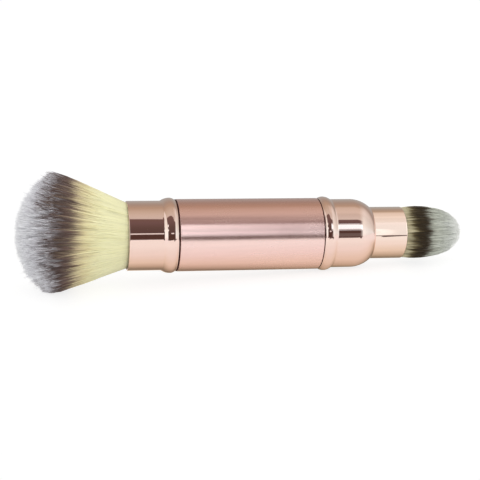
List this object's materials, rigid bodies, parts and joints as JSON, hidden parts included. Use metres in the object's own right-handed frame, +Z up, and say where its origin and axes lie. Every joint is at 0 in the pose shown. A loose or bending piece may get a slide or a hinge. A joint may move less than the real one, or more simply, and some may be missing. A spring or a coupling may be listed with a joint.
{
  "type": "double ended makeup brush",
  "caption": "Double ended makeup brush: a large flared powder tuft and a small domed concealer tuft on one rose-gold tube handle.",
  "frame": {"origin": "on the surface that the brush lies on, under the middle of its bounding box", "axes": "+X towards the small tuft, +Z up, +Y across; the brush's own axis lies in the XZ plane, 3.4 degrees down towards +X"},
  "size_m": [0.1394, 0.0368, 0.0359],
  "materials": {
    "polished_rose_gold": "polished",
    "satin_rose_gold": "satin",
    "black_plastic": "matte",
    "large_fibre": "matte",
    "small_fibre": "matte",
    "epoxy": "gloss"
  },
  "bodies": {
    "root": {"large_bristles": "large_fibre", "large_root_glue": "epoxy", "large_ferrule": "polished_rose_gold", "large_insert": "black_plastic", "barrel": "satin_rose_gold", "small_insert": "black_plastic", "shoulder_cap": "polished_rose_gold", "small_ferrule": "polished_rose_gold", "small_root_glue": "epoxy", "small_bristles": "small_fibre"}
  },
  "joints": []
}
